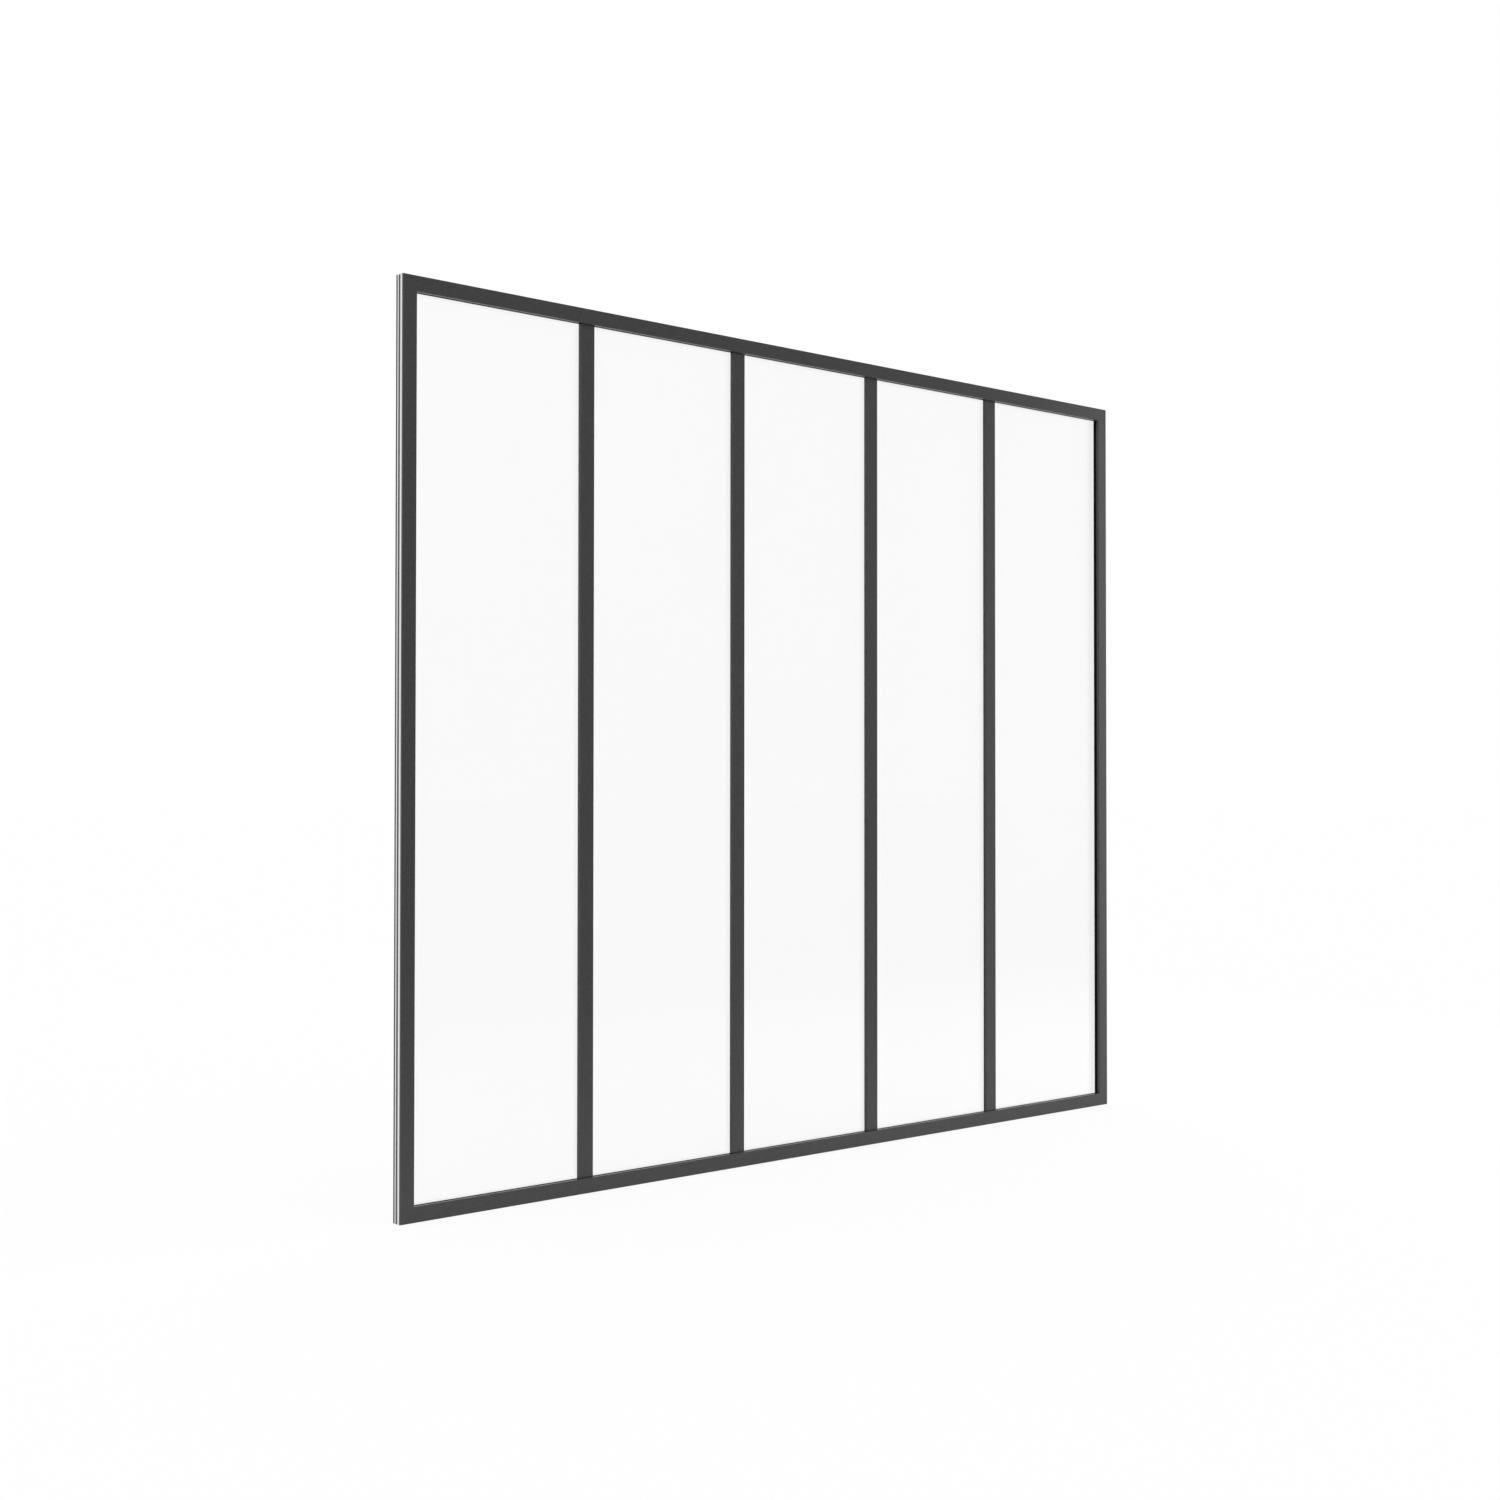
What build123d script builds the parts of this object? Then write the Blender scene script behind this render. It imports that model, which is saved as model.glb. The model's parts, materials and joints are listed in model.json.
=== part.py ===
from build123d import *
import os

# Overall size of the partition and the number of panes, in millimetres
WIDTH = 1530.0
HEIGHT = 1300.0
DEPTH = 18.5
PANES = 5

# Outer frame section: across the face from the outer edge, and back from the front face
FACE = 22.0
LIP = 5.2
REBATE = 9.5
WALL = 1.2
ARRIS = 0.4
SOFT = 0.25

# Wall side of the frame: front edge, seal groove, rib, second seal groove, rear flange
EDGE = 3.3
RIB_FRONT = 7.9
RIB_BACK = 12.1
FLANGE = 3.6
GROOVE = 4.0
SEAL_SINK = 0.15

# Glass and the rubber on both sides of it
GLASS = 4.0
GLASS_BITE = 8.5
GLASS_ARRIS = 0.5
FRONT_RUBBER = 1.2
REAR_RUBBER = 1.0
RUBBER_RECESS = 0.5
REAR_SETBACK = 3.4

# Upright between two panes: hollow front bar with a web, and a barbed stem for the rear cap
BAR = 25.0
BAR_ARRIS = 0.4
WEB = 6.0
WEB_PLAY = 2.0
STEM = 2.4
STEM_NECK = 0.7
STEM_REACH = 1.6
BARB = 0.3
NOSE = 0.5

# Bevelled pieces behind the glass, with a tongue that snaps into the frame
BEAD_DEPTH = 2.5
BEVEL = 3.2
BEVEL_EDGE = 0.6
TONGUE = 1.0
TONGUE_REACH = 1.0
TONGUE_SET = 0.7
CLIP_PLAY = 0.1

# Setting blocks below each pane
BLOCK_LENGTH = 60.0
BLOCK_SHARE = 0.25

# Sizes that follow: the glass is set from the rear, and the uprights fill what is left behind the lip
BEAD_FRONT = DEPTH - BEAD_DEPTH
GLASS_BACK = BEAD_FRONT - REAR_RUBBER
GLASS_FRONT = GLASS_BACK - GLASS
BAR_BACK = GLASS_FRONT - FRONT_RUBBER
GLASS_EDGE = FACE - GLASS_BITE
BEAD_EDGE = FACE - REAR_SETBACK
CAP = BAR - REAR_SETBACK - REAR_SETBACK
TONGUE_FRONT = BEAD_FRONT + TONGUE_SET
TONGUE_BACK = TONGUE_FRONT + TONGUE
TONGUE_TIP = REBATE - TONGUE_REACH
PITCH = (WIDTH - FACE - FACE) / PANES
UPRIGHTS = [FACE - WIDTH / 2 + PITCH * i for i in range(1, PANES)]


def section(*points):
    """A flat section from its corner points: across the member, then back from the front."""
    return make_face(Polyline(*points, close=True))


def mirrored(*half):
    """A section with two like halves, from the points of its right half, front to back."""
    return section(*half, *[(-across, back) for across, back in reversed(half)])


def block(left, right, front, back):
    """A rectangular section between two edges and two depths."""
    return section((left, front), (right, front), (right, back), (left, back))


def at_front(shape):
    return shape.vertices().group_by(Axis.Y)[0]


def at_rear(shape):
    return shape.vertices().group_by(Axis.Y)[-1]


def mitred(profile, length):
    """A section run along X, cut at 45 degrees at both ends, outer edge at z = 0."""
    start = Plane(origin=(length / 2, -DEPTH / 2, 0), x_dir=(0, 0, 1), z_dir=(-1, 0, 0))
    run = extrude(start * profile, amount=length)
    for side in (-1, 1):
        cut = Plane(origin=(side * length / 2, 0, 0), z_dir=(-side, 0, -1))
        run = split(run, bisect_by=cut, keep=Keep.TOP)
    return run


def around(profile):
    """The four mitred lengths of one section that go around the partition."""
    across = mitred(profile, WIDTH)
    upright = mitred(profile, HEIGHT)
    return {
        "bottom": across,
        "top": Pos(0, 0, HEIGHT) * Rot(0, 180, 0) * across,
        "left": Pos(-WIDTH / 2, 0, HEIGHT / 2) * Rot(0, 90, 0) * upright,
        "right": Pos(WIDTH / 2, 0, HEIGHT / 2) * Rot(0, -90, 0) * upright,
    }


def standing(profile, x, low):
    """A section run upwards at x, keeping one distance from the bottom and the top."""
    start = Plane(origin=(x, -DEPTH / 2, low), x_dir=(1, 0, 0), z_dir=(0, 0, 1))
    return extrude(start * profile, amount=HEIGHT - low - low)


def sheet(outline, front, back):
    """A flat outline in the plane of the wall, thickened between two depths."""
    start = Plane(origin=(0, front - DEPTH / 2, 0), x_dir=(1, 0, 0), z_dir=(0, -1, 0))
    return extrude(start * outline, amount=front - back)


def window(left, right, edge):
    """The rectangle between two x positions that keeps one distance from bottom and top."""
    high = HEIGHT - edge - edge
    return Pos((left + right) / 2, HEIGHT / 2) * Rectangle(right - left, high)


parts = {}

# Outer frame: hollow front lip, glass rebate with a clip groove, seal grooves on the wall side
frame_section = section(
    (0, 0),
    (FACE, 0),
    (FACE, LIP),
    (REBATE, LIP),
    (REBATE, TONGUE_FRONT - CLIP_PLAY),
    (TONGUE_TIP - CLIP_PLAY, TONGUE_FRONT - CLIP_PLAY),
    (TONGUE_TIP - CLIP_PLAY, TONGUE_BACK + CLIP_PLAY),
    (REBATE, TONGUE_BACK + CLIP_PLAY),
    (REBATE, DEPTH),
    (0, DEPTH),
    (0, DEPTH - FLANGE),
    (GROOVE, DEPTH - FLANGE),
    (GROOVE, RIB_BACK),
    (0, RIB_BACK),
    (0, RIB_FRONT),
    (GROOVE, RIB_FRONT),
    (GROOVE, EDGE),
    (0, EDGE),
)
frame_section = fillet(at_front(frame_section), ARRIS)
frame_section = fillet(at_rear(frame_section), SOFT)
lip_chamber = block(GROOVE + WALL, FACE - WALL, WALL, LIP - WALL)
side_chamber = block(GROOVE + WALL, REBATE - WALL, LIP, DEPTH - FLANGE)
frame_section -= fillet(lip_chamber.vertices(), SOFT) + fillet(side_chamber.vertices(), SOFT)
frame = around(frame_section)
for side, name in (("left", "left_jamb"), ("right", "right_jamb")):
    parts[name] = frame[side]
for side, name in (("top", "top_rail"), ("bottom", "bottom_rail")):
    parts[name] = frame[side]

# Bevelled beads that hold the glass against the lip from behind
bead_section = section(
    (REBATE, BEAD_FRONT),
    (BEAD_EDGE, BEAD_FRONT),
    (BEAD_EDGE, BEAD_FRONT + BEVEL_EDGE),
    (BEAD_EDGE - BEVEL, DEPTH),
    (REBATE, DEPTH),
    (REBATE, TONGUE_BACK),
    (TONGUE_TIP, TONGUE_BACK),
    (TONGUE_TIP, TONGUE_FRONT),
    (REBATE, TONGUE_FRONT),
)
tongue = bead_section.vertices().group_by(Axis.X)[0]
beads = around(fillet(tongue, SOFT))
for side, bead in beads.items():
    parts["rear_bead_" + side] = bead

# Perimeter seals: one strip in each groove on the wall side, two to each side of the frame
front_strips = around(block(SEAL_SINK, GROOVE, EDGE, RIB_FRONT))
rear_strips = around(block(SEAL_SINK, GROOVE, RIB_BACK, DEPTH - FLANGE))
for side in front_strips:
    parts[side + "_seal"] = Compound(children=[front_strips[side], rear_strips[side]])

# Uprights: hollow bar and web, a barbed stem, and the bevelled cap that snaps over it
bar_section = mirrored((BAR / 2, LIP), (BAR / 2, BAR_BACK), (WEB / 2, BAR_BACK), (WEB / 2, BEAD_FRONT))
bar_section = fillet(at_front(bar_section), BAR_ARRIS)
bar_section -= mirrored(
    (BAR / 2 - WALL, LIP + WALL),
    (BAR / 2 - WALL, BAR_BACK - WALL),
    (WEB / 2 - WALL, BAR_BACK - WALL),
    (WEB / 2 - WALL, BEAD_FRONT - WALL),
)
stem_section = mirrored(
    (STEM / 2, BEAD_FRONT),
    (STEM / 2, BEAD_FRONT + STEM_NECK),
    (STEM / 2 + BARB, BEAD_FRONT + STEM_NECK),
    (STEM / 2 - NOSE, BEAD_FRONT + STEM_REACH),
)
slot_half = STEM / 2 + CLIP_PLAY
cap_section = mirrored(
    (CAP / 2, BEAD_FRONT),
    (CAP / 2, BEAD_FRONT + BEVEL_EDGE),
    (CAP / 2 - BEVEL, DEPTH),
) - mirrored(
    (slot_half, BEAD_FRONT),
    (slot_half, BEAD_FRONT + STEM_NECK - CLIP_PLAY),
    (slot_half + BARB, BEAD_FRONT + STEM_NECK - CLIP_PLAY),
    (slot_half + BARB, BEAD_FRONT + STEM_REACH + CLIP_PLAY),
)
coped = BEAD_EDGE - BEVEL
for number, x in enumerate(UPRIGHTS, 1):
    stem = standing(stem_section, x, FACE)
    parts["mullion_" + str(number)] = standing(bar_section, x, GLASS_EDGE) + stem
    parts["mullion_cap_" + str(number)] = standing(cap_section, x, coped) - beads["top"] - beads["bottom"]

# Panes with their rubber: thick strips behind the lip, thin ones behind the uprights
web_edge = WEB / 2 + WEB_PLAY
blocks = []
for number in range(PANES):
    first, last = number == 0, number == PANES - 1
    bay_left = -WIDTH / 2 if first else UPRIGHTS[number - 1]
    bay_right = WIDTH / 2 if last else UPRIGHTS[number]
    left = bay_left + (GLASS_EDGE if first else web_edge)
    right = bay_right - (GLASS_EDGE if last else web_edge)
    sight_left = bay_left + (FACE if first else BAR / 2)
    sight_right = bay_right - (FACE if last else BAR / 2)
    strip_left = left if first else sight_left
    strip_right = right if last else sight_right
    open_left = sight_left - RUBBER_RECESS if first else sight_left
    open_right = sight_right + RUBBER_RECESS if last else sight_right
    name = str(number + 1)

    outline = window(left, right, GLASS_EDGE)
    parts["glass_pane_" + name] = chamfer(sheet(outline, GLASS_FRONT, GLASS_BACK).edges(), GLASS_ARRIS)

    sight = window(sight_left - RUBBER_RECESS, sight_right + RUBBER_RECESS, FACE - RUBBER_RECESS)
    strips = window(strip_left, strip_right, GLASS_EDGE) - window(open_left, open_right, FACE - RUBBER_RECESS)
    thin = sheet(outline - sight, BAR_BACK, GLASS_FRONT)
    parts["front_gasket_" + name] = thin + sheet(strips, LIP, BAR_BACK)

    behind = window(sight_left - REAR_SETBACK, sight_right + REAR_SETBACK, BEAD_EDGE)
    parts["rear_gasket_" + name] = sheet(outline - behind, GLASS_BACK, BEAD_FRONT)

    for share in (BLOCK_SHARE, 1 - BLOCK_SHARE):
        middle = Pos(left + (right - left) * share, (REBATE + GLASS_EDGE) / 2)
        pad = middle * Rectangle(BLOCK_LENGTH, GLASS_EDGE - REBATE)
        blocks.append(sheet(pad, BAR_BACK, BEAD_FRONT))
parts["setting_blocks"] = Compound(children=blocks)

os.makedirs("parts", exist_ok=True)
for name, shape in parts.items():
    export_step(shape, "parts/" + name + ".step")
    print(name, len(shape.solids()), "solid", round(shape.volume / 1000, 1), "cm3")
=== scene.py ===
# %% [markdown]
# A fixed indoor glass partition: four mitred frame lengths, four uprights, five clear panes.
# The solids come from CAD and already have the true sections, so this lesson gives them their
# finishes, adds the thin rubber lips that touch the glass, and sets up floor, light and camera.
# Everything is in metres: X runs along the width, Y from front to rear, Z upwards.

# %% Load the solids
import json
import math

import bpy
import numpy as np
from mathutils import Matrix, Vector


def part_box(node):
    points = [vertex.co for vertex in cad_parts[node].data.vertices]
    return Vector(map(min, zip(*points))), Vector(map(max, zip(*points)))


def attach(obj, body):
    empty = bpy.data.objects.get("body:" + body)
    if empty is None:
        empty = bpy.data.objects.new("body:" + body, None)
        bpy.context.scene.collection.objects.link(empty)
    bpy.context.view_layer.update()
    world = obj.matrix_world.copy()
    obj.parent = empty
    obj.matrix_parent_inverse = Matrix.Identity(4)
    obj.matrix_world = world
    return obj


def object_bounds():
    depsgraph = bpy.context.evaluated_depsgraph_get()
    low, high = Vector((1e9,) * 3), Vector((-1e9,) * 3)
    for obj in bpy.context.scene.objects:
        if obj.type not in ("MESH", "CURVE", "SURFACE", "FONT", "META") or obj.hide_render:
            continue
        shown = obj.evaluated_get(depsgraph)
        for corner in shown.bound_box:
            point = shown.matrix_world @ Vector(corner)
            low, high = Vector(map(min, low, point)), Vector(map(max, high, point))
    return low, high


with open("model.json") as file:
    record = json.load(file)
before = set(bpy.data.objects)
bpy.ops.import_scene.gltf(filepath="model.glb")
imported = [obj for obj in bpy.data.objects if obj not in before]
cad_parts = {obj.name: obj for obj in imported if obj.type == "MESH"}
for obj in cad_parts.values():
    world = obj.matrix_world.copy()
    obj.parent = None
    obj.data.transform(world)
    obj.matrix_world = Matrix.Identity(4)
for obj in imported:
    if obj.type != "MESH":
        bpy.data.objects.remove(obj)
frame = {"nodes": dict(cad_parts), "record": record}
nodes = frame["nodes"]
cad_low, cad_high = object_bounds()
MM = 0.001
cad_size = [round((high - low) / MM, 1) for low, high in zip(cad_low, cad_high)]
print("solids:", len(nodes), "box in mm:", cad_size)

# %% [markdown]
# Colours are written as sRGB hex, the way a paint card gives them. Shaders work with linear light,
# where half the number is half the light, so one function turns the card's code into linear values.
# Another turns the length of a real pattern, in millimetres, into the scale that a texture wants.


# %% Colours and pattern sizes
def linear(hex_code):
    """sRGB to linear: below 0.04045 divide by 12.92, above it the 2.4 power curve; alpha is 1."""
    srgb = np.array([int(hex_code[i : i + 2], 16) for i in (1, 3, 5)]) / 255.0
    dark, light = srgb / 12.92, ((srgb + 0.055) / 1.055) ** 2.4
    return tuple(float(c) for c in np.where(srgb <= 0.04045, dark, light)) + (1.0,)


def waves(length_mm):
    """How many waves of this length fit into a metre: one divided by the length in metres."""
    return 1.0 / (length_mm * MM)


print("mid grey in linear light:", [round(c, 3) for c in linear("#808080")])
print("waves of 5 mm in a metre:", waves(5.0))

# %% [markdown]
# A finish is a small tree of nodes: a pattern, a colour that follows it, a gloss that follows it,
# and a bump. Nodes could be placed by hand in the editor; here one function adds a node, sets its
# values and links its inputs, so that a finish reads as a short list from pattern to shader.


# %% Node helpers
def add(tree, kind, settings=None, values=None, links=None):
    """Adds one node: settings are its properties, values its sockets, links name what feeds them."""
    node = tree.nodes.new(kind)
    for key, value in (settings or {}).items():
        setattr(node, key, value)
    for key, value in (values or {}).items():
        node.inputs[key].default_value = value
    for key, (source, output) in (links or {}).items():
        tree.links.new(source.outputs[output], node.inputs[key])
    return node


def empty_tree(owner):
    """Switches a material or a world to nodes and clears the ones that it comes with."""
    owner.use_nodes = True
    owner.node_tree.nodes.clear()
    return owner.node_tree


def new_finish(name):
    """An empty material with its tree, and a link that lays patterns in the piece's own coordinates."""
    material = bpy.data.materials.new(name)
    tree = empty_tree(material)
    place = add(tree, "ShaderNodeTexCoord")
    return material, tree, {"Vector": (place, "Object")}


print("node helpers ready")

# %% [markdown]
# The frame is extruded aluminium with a satin charcoal powder coat. Powder melts into a skin with
# a faint orange peel, a rolling bump of a millimetre or two, and a fine grain that breaks up the
# gloss. Both are too fine to show at this size, so the peel is drawn 5 mm long and the grain 0.6 mm.
# They could be modelled, but a bump keeps the edges of the extrusion crisp.

# %% Satin powder coat
# Gives the eye a dark neutral grey with a soft sheen that brightens at glancing angles
PEEL_MM, GRAIN_MM = 5.0, 0.6
PEEL_RISE, GRAIN_RISE = 0.08 * MM, 0.02 * MM
coat, tree, on_piece = new_finish("satin_charcoal_powder_coat")
peel = add(tree, "ShaderNodeTexNoise", values={"Scale": waves(PEEL_MM), "Detail": 5.0}, links=on_piece)
grain = add(tree, "ShaderNodeTexNoise", values={"Scale": waves(GRAIN_MM), "Detail": 1.0}, links=on_piece)
tone = add(
    tree,
    "ShaderNodeMix",
    {"data_type": "RGBA"},
    {"A": linear("#272727"), "B": linear("#3E3E3E")},
    {"Factor": (peel, "Fac")},
)
gloss = add(
    tree,
    "ShaderNodeMapRange",
    values={"To Min": 0.23, "To Max": 0.43},
    links={"Value": (grain, "Fac")},
)
fine = add(
    tree,
    "ShaderNodeBump",
    values={"Distance": GRAIN_RISE, "Strength": 0.5},
    links={"Height": (grain, "Fac")},
)
bump = add(
    tree,
    "ShaderNodeBump",
    values={"Distance": PEEL_RISE, "Strength": 0.4},
    links={"Height": (peel, "Fac"), "Normal": (fine, "Normal")},
)
shader = add(
    tree,
    "ShaderNodeBsdfPrincipled",
    values={"IOR": 1.5},
    links={"Base Color": (tone, "Result"), "Roughness": (gloss, "Result"), "Normal": (bump, "Normal")},
)
add(tree, "ShaderNodeOutputMaterial", links={"Surface": (shader, "BSDF")})
print(coat.name, "nodes:", len(tree.nodes))

# %% [markdown]
# The panes are 4 mm clear toughened float glass. Both faces are flat and polished; the rollers of
# the toughening oven leave a wave of about a tenth of a millimetre, some 250 mm long, which only
# makes reflections waver. A thin see-through sheet could stand for a pane, but would not bend and
# mirror light as two polished faces do, so the panes are real slabs. A trace of cleaning film lies
# on them: a coat layer blurs a part of the reflection, and darkens the glass softly beside the
# uprights, which stand in the way of that blurred light.

# %% Clear toughened glass
# Gives the eye a clear pane that is a shade greyer than the room, most of all beside the uprights
WAVE_MM, WAVE_RISE = 250.0, 0.1 * MM
glass, tree, on_piece = new_finish("clear_toughened_glass")
wave = add(tree, "ShaderNodeTexNoise", values={"Scale": waves(WAVE_MM), "Detail": 1.0}, links=on_piece)
tone = add(
    tree,
    "ShaderNodeMix",
    {"data_type": "RGBA"},
    {"A": linear("#FDFEFD"), "B": linear("#FFFFFF")},
    {"Factor": (wave, "Fac")},
)
bump = add(
    tree,
    "ShaderNodeBump",
    values={"Distance": WAVE_RISE, "Strength": 0.5},
    links={"Height": (wave, "Fac")},
)
clear = {"Roughness": 0.0, "IOR": 1.52, "Transmission Weight": 1.0}
film = {"Coat Weight": 0.5, "Coat Roughness": 0.5, "Coat IOR": 1.5}
shader = add(
    tree,
    "ShaderNodeBsdfPrincipled",
    values=clear | film,
    links={"Base Color": (tone, "Result"), "Normal": (bump, "Normal")},
)
add(tree, "ShaderNodeOutputMaterial", links={"Surface": (shader, "BSDF")})
print(glass.name, "nodes:", len(tree.nodes))

# %% [markdown]
# Black glazing rubber lies between the glass and the metal. It is extruded, matt, and slightly
# chalky where it has been handled, so its black drifts a little and hardly shines. One flat black
# would be simpler, but looks like a gap from close up. The grain of the extrusion is finer than a
# hair, so it is drawn at a third of a millimetre.

# %% Black glazing rubber
# Gives the eye a dead black line that parts the glass from the metal
CHALK_MM, SKIN_MM, SKIN_RISE = 12.0, 0.33, 0.03 * MM
rubber, tree, on_piece = new_finish("black_glazing_rubber")
chalk = add(tree, "ShaderNodeTexNoise", values={"Scale": waves(CHALK_MM), "Detail": 4.0}, links=on_piece)
skin = add(tree, "ShaderNodeTexNoise", values={"Scale": waves(SKIN_MM), "Detail": 1.0}, links=on_piece)
tone = add(
    tree,
    "ShaderNodeMix",
    {"data_type": "RGBA"},
    {"A": linear("#050505"), "B": linear("#0D0D0D")},
    {"Factor": (chalk, "Fac")},
)
gloss = add(
    tree,
    "ShaderNodeMapRange",
    values={"To Min": 0.72, "To Max": 0.86},
    links={"Value": (chalk, "Fac")},
)
bump = add(
    tree,
    "ShaderNodeBump",
    values={"Distance": SKIN_RISE, "Strength": 0.3},
    links={"Height": (skin, "Fac")},
)
shader = add(
    tree,
    "ShaderNodeBsdfPrincipled",
    values={"Specular IOR Level": 0.12},
    links={"Base Color": (tone, "Result"), "Roughness": (gloss, "Result"), "Normal": (bump, "Normal")},
)
add(tree, "ShaderNodeOutputMaterial", links={"Surface": (shader, "BSDF")})
print(rubber.name, "nodes:", len(tree.nodes))

# %% [markdown]
# Two strips of pale closed-cell foam fill the grooves on the wall side, where the partition meets
# the wall. Foam is matt, and its cut cells, about a millimetre across, make a fine pitted surface.
# Noise could mottle it, but would give soft clouds. A Voronoi pattern gives real cells: each point
# knows how far it is from the nearest cell's middle.

# %% Pale closed-cell foam
# Gives the eye two pale chalky lines along the dark edge of the frame
CELL_MM, CELL_RISE = 1.1, 0.2 * MM
foam, tree, on_piece = new_finish("pale_closed_cell_foam")
cells = add(tree, "ShaderNodeTexVoronoi", values={"Scale": waves(CELL_MM)}, links=on_piece)
tone = add(
    tree,
    "ShaderNodeMix",
    {"data_type": "RGBA"},
    {"A": linear("#D9D9D6"), "B": linear("#EFEFEC")},
    {"Factor": (cells, "Distance")},
)
gloss = add(
    tree,
    "ShaderNodeMapRange",
    values={"To Min": 0.84, "To Max": 0.95},
    links={"Value": (cells, "Distance")},
)
bump = add(
    tree,
    "ShaderNodeBump",
    values={"Distance": CELL_RISE, "Strength": 0.3},
    links={"Height": (cells, "Distance")},
)
shader = add(
    tree,
    "ShaderNodeBsdfPrincipled",
    values={"Specular IOR Level": 0.2},
    links={"Base Color": (tone, "Result"), "Roughness": (gloss, "Result"), "Normal": (bump, "Normal")},
)
add(tree, "ShaderNodeOutputMaterial", links={"Surface": (shader, "BSDF")})
print(foam.name, "nodes:", len(tree.nodes))

# %% [markdown]
# Moulded plastic blocks carry each pane in the bottom rebate. They get a dark polypropylene with
# the waxy sheen and the flow marks of a moulding. Several patterns could be layered here as on the
# coat, but the blocks hardly show, so one slow noise drives colour, gloss and bump together.

# %% Moulded setting blocks
# Gives the eye a dark waxy block where the rubber leaves it in view
FLOW_MM, FLOW_RISE = 8.0, 0.04 * MM
plastic, tree, on_piece = new_finish("moulded_polypropylene")
flow = add(tree, "ShaderNodeTexNoise", values={"Scale": waves(FLOW_MM), "Detail": 2.0}, links=on_piece)
tone = add(
    tree,
    "ShaderNodeMix",
    {"data_type": "RGBA"},
    {"A": linear("#232323"), "B": linear("#2C2C2C")},
    {"Factor": (flow, "Fac")},
)
gloss = add(
    tree,
    "ShaderNodeMapRange",
    values={"To Min": 0.42, "To Max": 0.56},
    links={"Value": (flow, "Fac")},
)
bump = add(
    tree,
    "ShaderNodeBump",
    values={"Distance": FLOW_RISE, "Strength": 0.2},
    links={"Height": (flow, "Fac")},
)
shader = add(
    tree,
    "ShaderNodeBsdfPrincipled",
    links={"Base Color": (tone, "Result"), "Roughness": (gloss, "Result"), "Normal": (bump, "Normal")},
)
add(tree, "ShaderNodeOutputMaterial", links={"Surface": (shader, "BSDF")})
print(plastic.name, "nodes:", len(tree.nodes))

# %% [markdown]
# Each solid carries a slot name from its record, such as dark_powder_coat. The solids could be
# dressed one by one, by name. A table from slot to finish does it in one loop, and no solid can be
# forgotten: a slot without a finish would stop the script here.

# %% Give every solid its finish
finishes = {
    "dark_powder_coat": coat,
    "clear_glass": glass,
    "black_rubber": rubber,
    "pale_seal": foam,
    "block_plastic": plastic,
}
slots = {entry["node"]: entry["material_slot"] for entry in frame["record"]["subparts"]}
for name, solid in nodes.items():
    for slot in solid.material_slots:
        slot.material = finishes[slots[name]]
print({slot: list(slots.values()).count(slot) for slot in finishes})

# %% [markdown]
# Glazing rubber ends in a thin lip that bends against the glass and closes the gap. It runs around
# each pane, in front and behind. The lip is a small hooked profile carried around a rectangle:
# moving a profile point inwards simply shrinks the rectangle, which mitres the corners by itself.
# A curve with a bevel could do the same, but would round the corners that a real lip has mitred.


# %% Shape of a rubber lip
def lip_profile(reach, height, steps):
    """Closed hook: a quarter ellipse from the rubber's side down to the tip, then back along the glass.
    Returns how far each point lies inwards and how far it stands off the glass."""
    tip, gap, root = 0.12 * MM, 0.01 * MM, 0.1 * MM
    angle = np.linspace(0.0, math.pi / 2, steps)
    inwards = reach * (1.0 - np.cos(angle))
    off = height * (1.0 - np.sin(angle)) + tip
    base_in = np.array([reach, -root, -root])
    base_off = np.array([gap, gap, height])
    return np.concatenate([inwards, base_in]), np.concatenate([off, base_off])


def carried_round(x_edges, z_edges, glass_y, side, profile):
    """Corner c and profile point p: x = middle + sign * (half width - inwards), same for z;
    y = glass face + side * stand-off. Quads join each corner to the next and each point to the next."""
    inwards, off = profile
    count = len(inwards)
    sign_x = np.array([-1.0, 1.0, 1.0, -1.0])[:, None]
    sign_z = np.array([-1.0, -1.0, 1.0, 1.0])[:, None]
    half_x, half_z = (x_edges[1] - x_edges[0]) / 2, (z_edges[1] - z_edges[0]) / 2
    x = (x_edges[0] + x_edges[1]) / 2 + sign_x * (half_x - inwards)
    z = (z_edges[0] + z_edges[1]) / 2 + sign_z * (half_z - inwards)
    y = np.broadcast_to(glass_y + side * off, x.shape)
    points = np.stack([x, y, z], axis=-1).reshape(-1, 3)
    corner, point = np.meshgrid(np.arange(4), np.arange(count), indexing="ij")
    here, there = corner * count, (corner + 1) % 4 * count
    after = (point + 1) % count
    loop = [here + point, there + point, there + after, here + after]
    faces = np.stack(loop, axis=-1).reshape(-1, 4)
    return points, faces if side < 0 else faces[:, ::-1]


def enclosed(points, faces):
    """Signed volume: one sixth of the sum of corner products over the two triangles of each quad.
    It is positive where the faces point outwards."""
    a, b, c, d = (points[faces[:, i]] for i in range(4))
    both = np.cross(b, c) + np.cross(c, d)
    return float(np.einsum("ij,ij->", a, both) / 6.0)


LIP_REACH, LIP_HEIGHT, LIP_STEPS = 0.45 * MM, 0.8 * MM, 7
hook = lip_profile(LIP_REACH, LIP_HEIGHT, LIP_STEPS)
print("lip profile points:", len(hook[0]), "reach in mm:", round(float(hook[0].max()) / MM, 2))

# %% [markdown]
# The lips sit where the rubber of the solids ends: half a millimetre behind the edge of the metal
# in front, and behind the bevelled beads and caps at the rear. Their edges could be typed in, but are
# read from the solids' own boxes, so the lips follow the frame. Both kinds come from the same
# functions, mirrored about the glass, and a positive volume shows that their faces point outwards.

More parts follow.
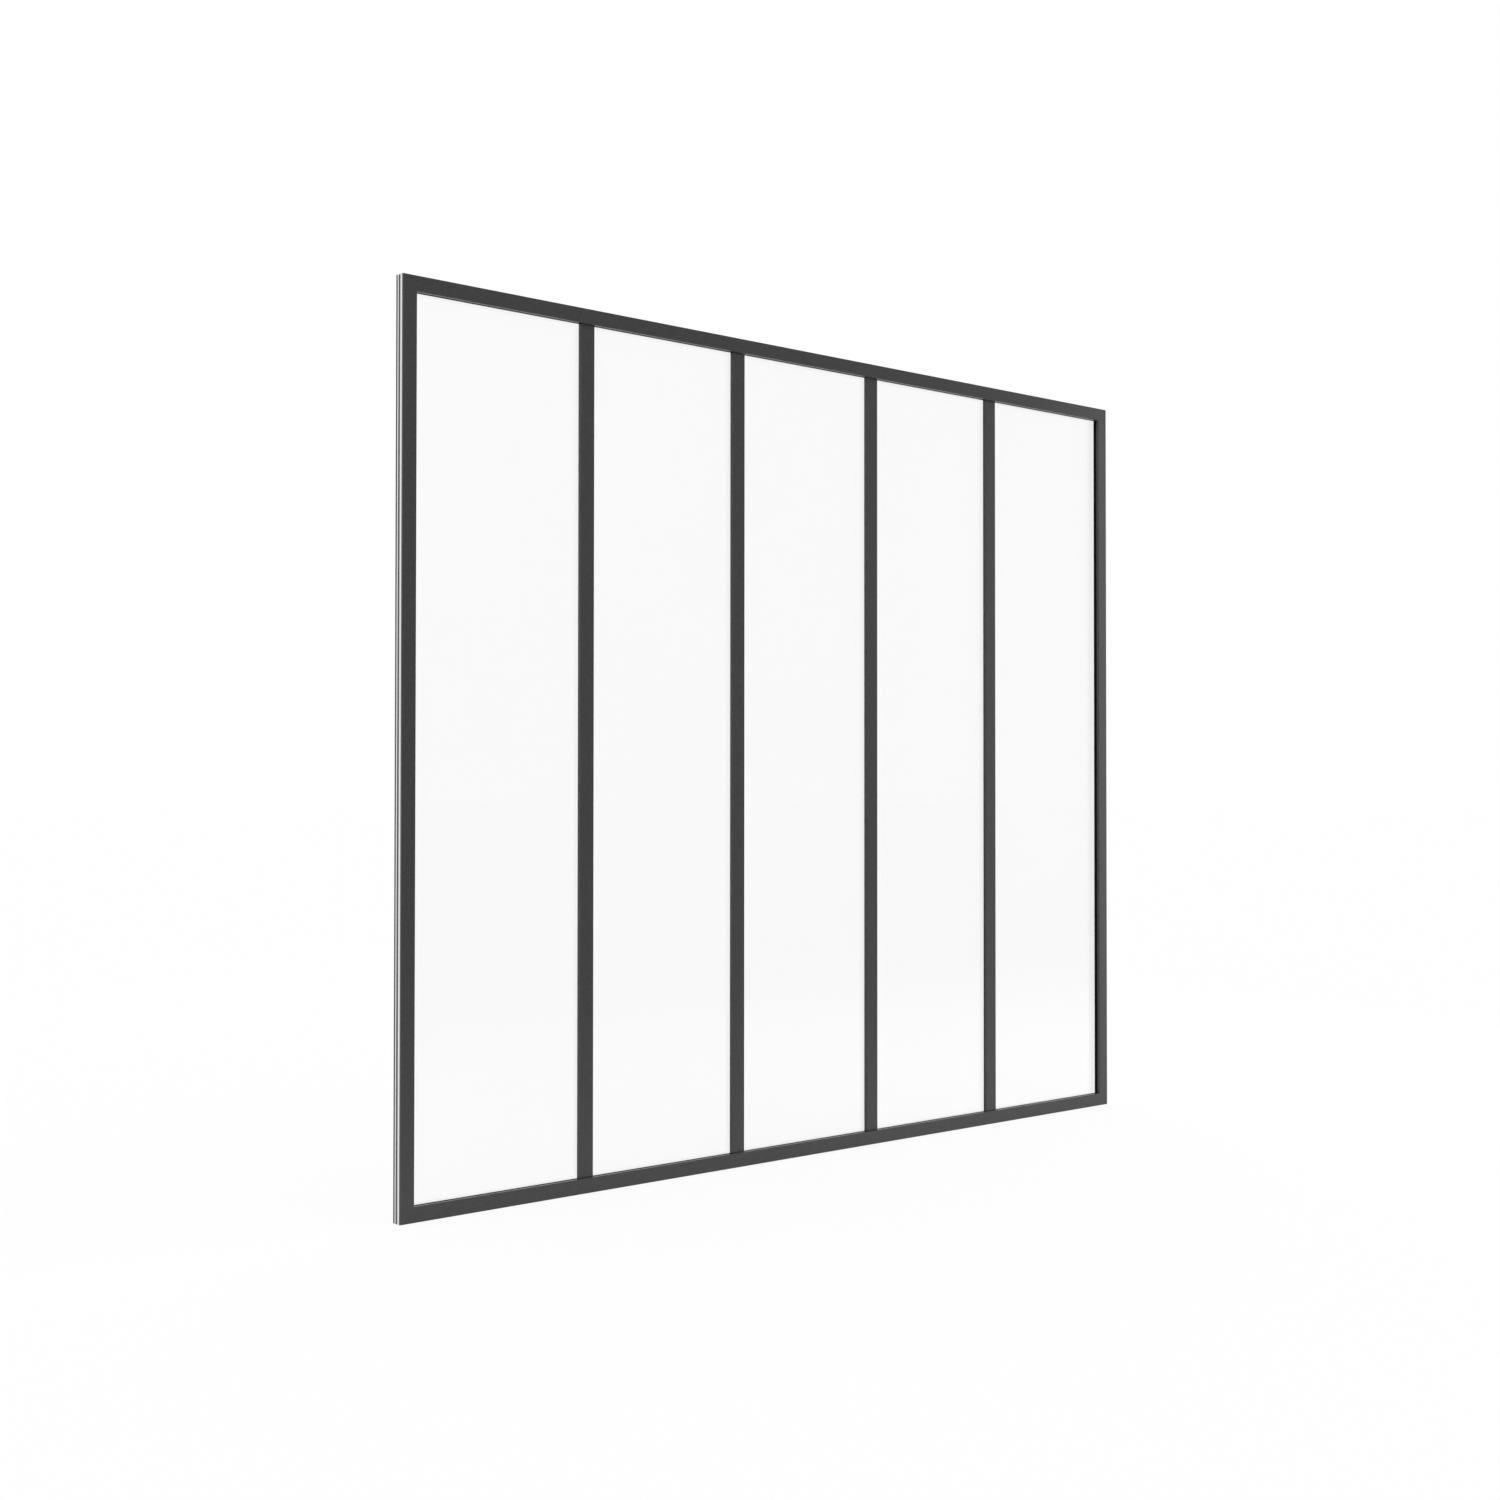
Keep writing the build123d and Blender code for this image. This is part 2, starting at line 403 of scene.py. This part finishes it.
# %% Lips around every pane
pane_count = sum(name.startswith("glass_pane_") for name in nodes)
uprights = [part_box(f"mullion_{number}") for number in range(1, pane_count)]
lefts = [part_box("left_jamb")[1].x] + [high.x for low, high in uprights]
rights = [low.x for low, high in uprights] + [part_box("right_jamb")[0].x]
sill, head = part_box("bottom_rail")[1].z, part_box("top_rail")[0].z
FRONT_BACK = 0.5 * MM
rear_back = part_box("mullion_1")[1].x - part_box("mullion_cap_1")[1].x
volumes = []
for number, (left, right) in enumerate(zip(lefts, rights), 1):
    pane_low, pane_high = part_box(f"glass_pane_{number}")
    kinds = (("front", pane_low.y, -1, FRONT_BACK), ("rear", pane_high.y, 1, rear_back))
    for word, glass_y, side, back in kinds:
        x_edges, z_edges = (left - back, right + back), (sill - back, head + back)
        points, faces = carried_round(x_edges, z_edges, glass_y, side, hook)
        mesh = bpy.data.meshes.new(f"{word}_rubber_lip_{number}")
        mesh.from_pydata(points.tolist(), [], faces.tolist())
        mesh.materials.append(rubber)
        lip = bpy.data.objects.new(mesh.name, mesh)
        bpy.context.collection.objects.link(lip)
        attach(lip, "root")
        volumes.append(round(enclosed(points, faces) / MM**3))
print("lips:", len(volumes), "volume of each in mm3:", volumes)
print("front and rear set back in mm:", round(FRONT_BACK / MM, 2), round(rear_back / MM, 2))

# %% [markdown]
# The floor is a plain white sweep. Stronger lamps could make it white, but would wash out the frame.
# So it takes the object's soft shadow, but most of what the camera sees of it, also through glass,
# is an even white that the Light Path node gives it. Reflections see it too: white beside the
# object, and dimmer further in front, where a room is darker than the lit sweep. That makes the
# bottom rail a little lighter than the uprights.

# %% Floor finish
WHITE_SHARE = 0.9
ROOM_DIM = 0.34
NEAR_Y, FAR_Y = -0.3, -2.0
sweep, tree, on_piece = new_finish("white_studio_sweep")
path = add(tree, "ShaderNodeLightPath")
# One where a ray comes from the camera or through glass, else zero
rays = {0: (path, "Is Camera Ray"), 1: (path, "Is Transmission Ray")}
straight = add(tree, "ShaderNodeMath", {"operation": "MAXIMUM"}, links=rays)
rays = {0: (straight, "Value"), 1: (path, "Is Glossy Ray")}
seen = add(tree, "ShaderNodeMath", {"operation": "MAXIMUM"}, links=rays)
share = add(tree, "ShaderNodeMath", {"operation": "MULTIPLY"}, {1: WHITE_SHARE}, {0: (seen, "Value")})
axes = add(tree, "ShaderNodeSeparateXYZ", links=on_piece)
fall = add(
    tree,
    "ShaderNodeMapRange",
    values={"From Min": NEAR_Y, "From Max": FAR_Y, "To Min": 1.0, "To Max": ROOM_DIM},
    links={"Value": (axes, "Y")},
)
glow = add(
    tree,
    "ShaderNodeMapRange",
    values={"To Max": 1.0},
    links={"Value": (straight, "Value"), "To Min": (fall, "Result")},
)
matt = add(tree, "ShaderNodeBsdfDiffuse", values={"Color": linear("#FAFAFA")})
white = add(tree, "ShaderNodeEmission", links={"Strength": (glow, "Result")})
layers = {0: (share, "Value"), 1: (matt, "BSDF"), 2: (white, "Emission")}
both = add(tree, "ShaderNodeMixShader", links=layers)
add(tree, "ShaderNodeOutputMaterial", links={"Surface": (both, "Shader")})
print(sweep.name, "nodes:", len(tree.nodes))

# %% [markdown]
# A studio sweep curves up behind the object. This one is a single large flat quad, because it reaches
# so far that its edge melts into the white room. It lies half a millimetre under the bottom rail, so
# that the two never share a plane.

# %% Floor
FLOOR_HALF = 40.0
FLOOR_Z = -0.5 * MM
corners = np.array([[-1, -1], [1, -1], [1, 1], [-1, 1]]) * FLOOR_HALF
points = np.column_stack([corners, np.full(len(corners), FLOOR_Z)])
mesh = bpy.data.meshes.new("studio_floor")
mesh.from_pydata(points.tolist(), [], [(0, 1, 2, 3)])
mesh.materials.append(sweep)
floor = bpy.data.objects.new("studio_floor", mesh)
bpy.context.collection.objects.link(floor)
print("floor:", 2 * FLOOR_HALF, "m wide at", round(FLOOR_Z / MM, 2), "mm")

# %% [markdown]
# The room is an even white all around, at a level where a colour renders about as it is written.
# Only what glossy surfaces mirror is toned: the side towards the viewer is dimmer, softly, as in a
# studio whose front is not lit. Dark panels around the object could do that, but would also shade
# it. The dot product of a direction with the dim side's direction is one where they agree and falls
# off with the angle, which makes a soft patch without any picture.

# %% World
DIM_SIDE = (0.7, -0.714, 0.0)
PATCH_EDGE = 0.55
world = bpy.data.worlds.new("white_room")
bpy.context.scene.world = world
tree = empty_tree(world)
path = add(tree, "ShaderNodeLightPath")
rays = {0: (path, "Is Camera Ray"), 1: (path, "Is Transmission Ray")}
straight = add(tree, "ShaderNodeMath", {"operation": "MAXIMUM"}, links=rays)
place = add(tree, "ShaderNodeTexCoord")
facing = add(
    tree,
    "ShaderNodeVectorMath",
    {"operation": "DOT_PRODUCT"},
    {1: DIM_SIDE},
    {0: (place, "Generated")},
)
mirrored = add(
    tree,
    "ShaderNodeMapRange",
    values={"From Min": PATCH_EDGE, "From Max": 1.0, "To Min": 1.0, "To Max": ROOM_DIM},
    links={"Value": (facing, "Value")},
)
lit = add(
    tree,
    "ShaderNodeMapRange",
    values={"To Min": 1.0},
    links={"Value": (path, "Is Glossy Ray"), "To Max": (mirrored, "Result")},
)
level = add(
    tree,
    "ShaderNodeMapRange",
    values={"To Max": 1.0},
    links={"Value": (straight, "Value"), "To Min": (lit, "Result")},
)
room = add(
    tree,
    "ShaderNodeBackground",
    values={"Color": linear("#FFFFFF")},
    links={"Strength": (level, "Result")},
)
add(tree, "ShaderNodeOutputWorld", links={"Surface": (room, "Background")})
print(world.name, "nodes:", len(tree.nodes))

# %% [markdown]
# One tall soft lamp stands beside the partition on the right, just out of the picture. In front, it
# would light all the uprights alike. From the side it rakes along the frame at a glancing angle, so
# the satin coat grows lighter from left to right, while the panes, which mirror sharply, do not show
# the lamp in this view.


# %% Lamp
def soft_lamp(name, place, aim, width, height, watts):
    """A rectangular soft lamp: turned about Z by the bearing to the aim, tipped by its slope."""
    data = bpy.data.lights.new(name, "AREA")
    data.shape = "RECTANGLE"
    data.size = width
    data.size_y = height
    data.energy = watts
    lamp = bpy.data.objects.new(name, data)
    bpy.context.collection.objects.link(lamp)
    along, across, up = np.array(aim) - np.array(place)
    turn = math.atan2(across, along) - math.pi / 2
    tip = math.pi / 2 + math.atan2(up, math.hypot(along, across))
    lamp.location = place
    lamp.rotation_euler = (tip, 0.0, turn)
    return lamp


softbox = soft_lamp(
    "right_softbox",
    place=(2.3, -0.45, 0.85),
    aim=(0.6, 0.0, 0.85),
    width=0.8,
    height=1.7,
    watts=13.5,
)
print(softbox.name, softbox.data.energy, "W at", [round(c, 2) for c in softbox.location])

# %% [markdown]
# The camera could be set by eye, but a frame with straight edges gives it to within a pixel, so it was
# worked out from those edges in the picture: it stands to the left, a little below half height, and
# looks about 42 degrees to the right, almost level. The small shift puts the picture's middle where
# the edges say it is.

# %% Camera
SENSOR, FOCAL_LENGTH = 36.0, 47.938
EYE = (-2.22176, -2.36049, 0.60857)
TURNS = (90.8903, -0.039, -41.684)
lens = bpy.data.cameras.new("camera")
lens.sensor_width = SENSOR
lens.lens = FOCAL_LENGTH
lens.shift_x = -0.00033
lens.shift_y = -0.00203
camera = bpy.data.objects.new("camera", lens)
bpy.context.collection.objects.link(camera)
camera.location = EYE
camera.rotation_euler = [math.radians(turn) for turn in TURNS]
bpy.context.scene.camera = camera
bpy.context.scene.view_settings.view_transform = "Standard"
print("view angle in degrees:", round(2 * math.degrees(math.atan(SENSOR / 2 / FOCAL_LENGTH)), 1))
